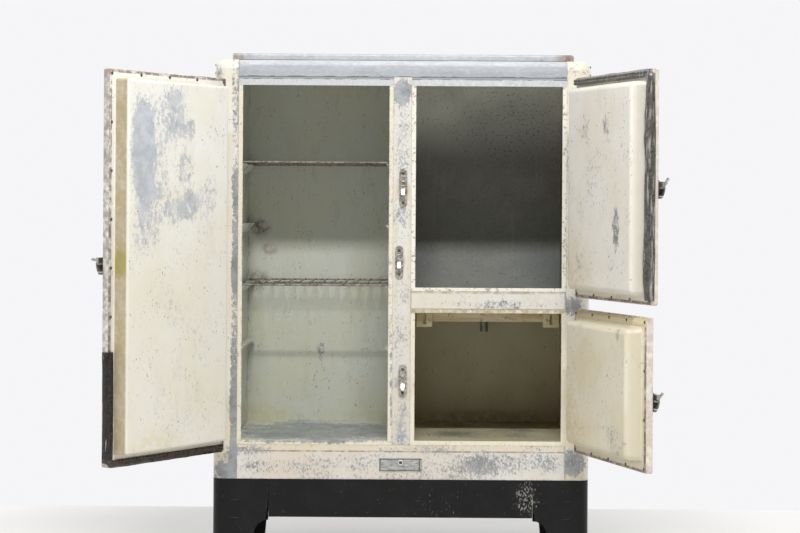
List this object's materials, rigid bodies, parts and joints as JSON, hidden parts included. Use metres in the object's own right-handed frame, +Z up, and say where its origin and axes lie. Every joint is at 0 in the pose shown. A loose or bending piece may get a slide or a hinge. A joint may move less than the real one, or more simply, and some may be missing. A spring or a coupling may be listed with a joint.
{
  "type": "icebox",
  "caption": "Antique steel-cabinet icebox on pressed-steel legs, with a tall food door beside an ice door over a lower door, all hung on side hinges",
  "frame": {"origin": "middle of the bounding box, on the floor", "axes": "+X across the front from the tall door to the ice door, +Y from the front to the back, +Z up"},
  "size_m": [1.2642, 0.9096, 1.2395],
  "materials": {
    "cream_enamel": "worn gloss enamel",
    "liner_enamel": "worn enamel",
    "zinc": "dull stained zinc",
    "galvanised": "dull galvanised",
    "grey_paint": "matte",
    "black_paint": "satin",
    "nickel": "tarnished",
    "timber": "painted, worn",
    "wire": "rusty",
    "rubber": "perished",
    "cork": "rough"
  },
  "bodies": {
    "cabinet": {"back_apron": "black_paint", "back_panel": "grey_paint", "bottom_pan": "galvanised", "bottom_rail": "cream_enamel", "center_stile": "cream_enamel", "corner_post_left": "cream_enamel", "corner_post_right": "cream_enamel", "drain_tube": "zinc", "food_door_strike": "nickel", "food_liner": "liner_enamel", "food_lower_hinge_cabinet_leaf": "nickel", "food_upper_hinge_cabinet_leaf": "nickel", "front_apron": "black_paint", "ice_door_strike": "nickel", "ice_floor_support": "timber", "ice_liner": "zinc", "ice_lower_hinge_cabinet_leaf": "nickel", "ice_rail": "cream_enamel", "ice_upper_hinge_cabinet_leaf": "nickel", "insulation": "cork", "leg_front_left": "black_paint", "leg_front_right": "black_paint", "leg_rear_left": "black_paint", "leg_rear_right": "black_paint", "lower_door_strike": "nickel", "lower_liner": "liner_enamel", "lower_lower_hinge_cabinet_leaf": "nickel", "lower_upper_hinge_cabinet_leaf": "nickel", "nameplate": "nickel", "side_apron_left": "black_paint", "side_apron_right": "black_paint", "side_panel_left": "cream_enamel", "side_panel_right": "cream_enamel", "top_lid": "galvanised", "top_rail": "galvanised"},
    "food_door": {"food_door_gasket": "rubber", "food_door_inner_panel": "cream_enamel", "food_door_insulation": "cork", "food_door_latch_case": "nickel", "food_door_outer_pan": "cream_enamel", "food_lower_hinge_door_leaf": "nickel", "food_upper_hinge_door_leaf": "nickel"},
    "ice_door": {"ice_door_gasket": "rubber", "ice_door_inner_panel": "cream_enamel", "ice_door_insulation": "cork", "ice_door_latch_case": "nickel", "ice_door_outer_pan": "cream_enamel", "ice_lower_hinge_door_leaf": "nickel", "ice_upper_hinge_door_leaf": "nickel"},
    "lower_door": {"lower_door_inner_panel": "cream_enamel", "lower_door_insulation": "cork", "lower_door_latch_case": "nickel", "lower_door_outer_pan": "cream_enamel", "lower_lower_hinge_door_leaf": "nickel", "lower_upper_hinge_door_leaf": "nickel"},
    "food_latch_lever": {"food_door_latch_lever": "nickel"},
    "ice_latch_lever": {"ice_door_latch_lever": "nickel"},
    "lower_latch_lever": {"lower_door_latch_lever": "nickel"},
    "upper_shelf": {"upper_shelf": "wire"},
    "lower_shelf": {"lower_shelf": "wire"}
  },
  "joints": [
    {"name": "food_door_hinge", "type": "hinge", "parent": "cabinet", "child": "food_door", "pos_m": [-0.38449, -0.05622, 0.74], "axis": [0, 0, -1], "range_deg": [-124.5, 35.5]},
    {"name": "ice_door_hinge", "type": "hinge", "parent": "cabinet", "child": "ice_door", "pos_m": [0.47451, -0.05622, 0.92], "axis": [0, 0, 1], "range_deg": [-110.4, 49.6]},
    {"name": "lower_door_hinge", "type": "hinge", "parent": "cabinet", "child": "lower_door", "pos_m": [0.47451, -0.05622, 0.464], "axis": [0, 0, 1], "range_deg": [-109, 51]},
    {"name": "food_latch", "type": "hinge", "parent": "food_door", "child": "food_latch_lever", "pos_m": [-0.61176, -0.38053, 0.7508], "axis": [0, 0, 1], "range_deg": [0, 20], "stiffness_Nm_per_rad": 0.4},
    {"name": "ice_latch", "type": "hinge", "parent": "ice_door", "child": "ice_latch_lever", "pos_m": [0.61591, -0.42613, 0.9258], "axis": [0, 0, -1], "range_deg": [0, 20], "stiffness_Nm_per_rad": 0.4},
    {"name": "lower_latch", "type": "hinge", "parent": "lower_door", "child": "lower_latch_lever", "pos_m": [0.60684, -0.42947, 0.4603], "axis": [0, 0, -1], "range_deg": [0, 20], "stiffness_Nm_per_rad": 0.4},
    {"name": "upper_shelf_slide", "type": "slide", "parent": "cabinet", "child": "upper_shelf", "axis": [0, -1, 0], "range_m": [0, 0.04]},
    {"name": "lower_shelf_slide", "type": "slide", "parent": "cabinet", "child": "lower_shelf", "axis": [0, -1, 0], "range_m": [0, 0.04]}
  ]
}
